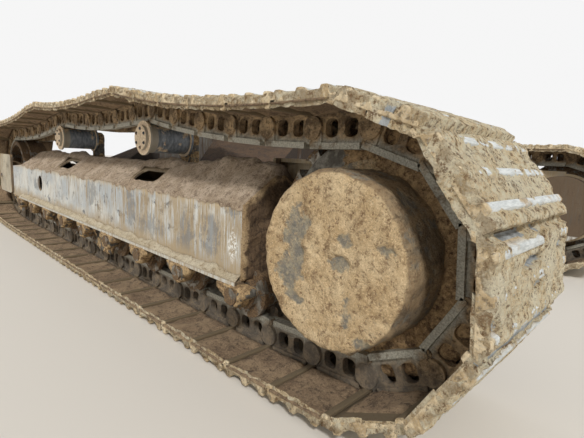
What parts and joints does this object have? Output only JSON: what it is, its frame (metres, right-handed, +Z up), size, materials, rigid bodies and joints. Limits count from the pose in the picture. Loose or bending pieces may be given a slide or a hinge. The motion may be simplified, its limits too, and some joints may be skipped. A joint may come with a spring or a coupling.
{
  "type": "crawler undercarriage of an excavator",
  "caption": "Lower structure of a crawler excavator: car body with X legs, two track units with sprocket, idler and rollers, and a slewing ring whose outer race turns.",
  "frame": {"origin": "on the ground under the slewing axis, midway between the ends of the tracks", "axes": "+X forwards to the idlers, +Y to the left track, +Z up along the slewing axis"},
  "size_m": [4.927, 3.19, 1.112],
  "materials": {
    "frame_paint": "weathered, dusty with dried mud",
    "track_steel": "worn steel caked with dried mud",
    "running_steel": "polished on the treads, muddy beside them",
    "drive_cover": "caked with dried mud",
    "dark_steel": "dull",
    "bracket_steel": "dusty",
    "roller_steel": "worn",
    "body_paint": "weathered, dusty",
    "race_steel": "oiled"
  },
  "bodies": {
    "lower_structure": {"left_frame": "frame_paint", "right_frame": "frame_paint", "left_track": "track_steel", "right_track": "track_steel", "left_sprocket": "running_steel", "right_sprocket": "running_steel", "left_track_rollers": "running_steel", "right_track_rollers": "running_steel", "left_idler": "running_steel", "right_idler": "running_steel", "left_final_drive": "drive_cover", "right_final_drive": "drive_cover", "left_travel_motor": "dark_steel", "right_travel_motor": "dark_steel", "left_recoil_unit": "dark_steel", "right_recoil_unit": "dark_steel", "left_motor_guard": "bracket_steel", "right_motor_guard": "bracket_steel", "left_idler_yoke": "bracket_steel", "right_idler_yoke": "bracket_steel", "left_roller_collars": "bracket_steel", "right_roller_collars": "bracket_steel", "left_track_guides": "bracket_steel", "right_track_guides": "bracket_steel", "left_carrier_brackets": "bracket_steel", "right_carrier_brackets": "bracket_steel", "left_carrier_rollers": "roller_steel", "right_carrier_rollers": "roller_steel", "car_body": "body_paint", "leg_front_left": "body_paint", "leg_front_right": "body_paint", "leg_rear_left": "body_paint", "leg_rear_right": "body_paint", "ring_seat": "body_paint", "tow_lugs": "body_paint", "belly_cover": "dark_steel", "slew_inner_race": "race_steel", "swivel_housing": "dark_steel"},
    "slewing_race": {"slew_outer_race": "race_steel"},
    "swivel_top": {"swivel_rotor": "dark_steel"}
  },
  "joints": [
    {"name": "slewing", "type": "hinge", "parent": "lower_structure", "child": "slewing_race", "pos_m": [0, 0, 1.06], "axis": [0, 0, 1], "continuous": true},
    {"name": "swivel_turn", "type": "hinge", "parent": "lower_structure", "child": "swivel_top", "pos_m": [0, 0, 0.95], "axis": [0, 0, 1], "continuous": true}
  ]
}
